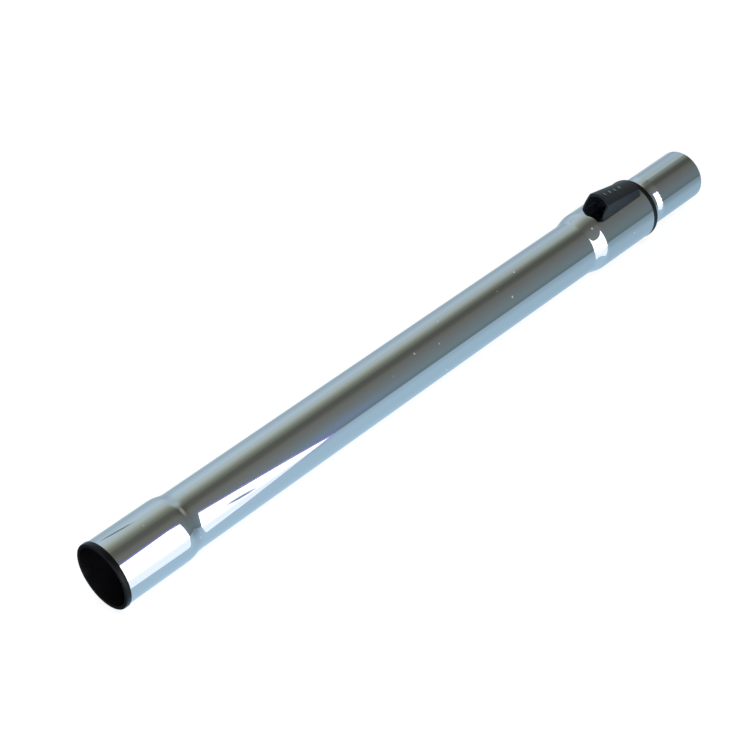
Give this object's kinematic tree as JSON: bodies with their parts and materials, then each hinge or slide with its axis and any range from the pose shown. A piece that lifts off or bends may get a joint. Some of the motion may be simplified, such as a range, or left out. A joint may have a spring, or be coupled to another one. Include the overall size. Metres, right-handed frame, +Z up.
{
  "type": "telescopic vacuum wand",
  "caption": "Chromed telescopic suction wand, pushed in: wide tube with lined mouth, sliding release button, black collar and narrow tube with a socket end.",
  "frame": {"origin": "centre of the wide tube's mouth, on the wand's axis, in the liner's front face", "axes": "+X along the wand from the mouth to the narrow tube's socket end, +Z up through the middle of the button"},
  "size_m": [0.4996, 0.04, 0.0499],
  "materials": {
    "chromed_steel": "bright chrome plate on drawn steel tube",
    "liner_plastic": "moulded, satin black",
    "collar_plastic": "moulded, satin black",
    "button_plastic": "moulded, fine texture, black",
    "guide_plastic": "moulded acetal, natural",
    "seal_rubber": "soft black rubber",
    "spring_steel": "drawn spring steel",
    "lock_steel": "hardened and ground steel",
    "felt": "pressed grey wool felt"
  },
  "bodies": {
    "wide_tube": {"outer_tube": "chromed_steel", "mouth_liner": "liner_plastic", "guide_sleeve": "guide_plastic", "end_collar": "collar_plastic", "wiper_ring": "seal_rubber", "rattle_leaf": "spring_steel", "return_spring_left": "spring_steel", "return_spring_right": "spring_steel"},
    "narrow_tube": {"inner_tube": "chromed_steel", "tail_shell_upper": "guide_plastic", "tail_shell_lower": "guide_plastic", "tail_felt": "felt"},
    "button": {"button_cap": "button_plastic", "slider": "guide_plastic"},
    "lock": {"lock_bar": "lock_steel", "lock_pin": "lock_steel"}
  },
  "joints": [
    {"name": "telescope", "type": "slide", "parent": "wide_tube", "child": "narrow_tube", "axis": [1, 0, 0], "range_m": [0, 0.312]},
    {"name": "button_slide", "type": "slide", "parent": "wide_tube", "child": "button", "axis": [1, 0, 0], "range_m": [0, 0.0032], "stiffness_N_per_m": 400, "springref_m": 0.006, "deforming": ["return_spring_left", "return_spring_right"]},
    {"name": "lock_drop", "type": "slide", "parent": "wide_tube", "child": "lock", "axis": [0, 0, 1], "range_m": [-0.0016, 0]}
  ],
  "couplings": [
    {"joint": "lock_drop", "follows": "button_slide", "ratio": -0.5}
  ]
}
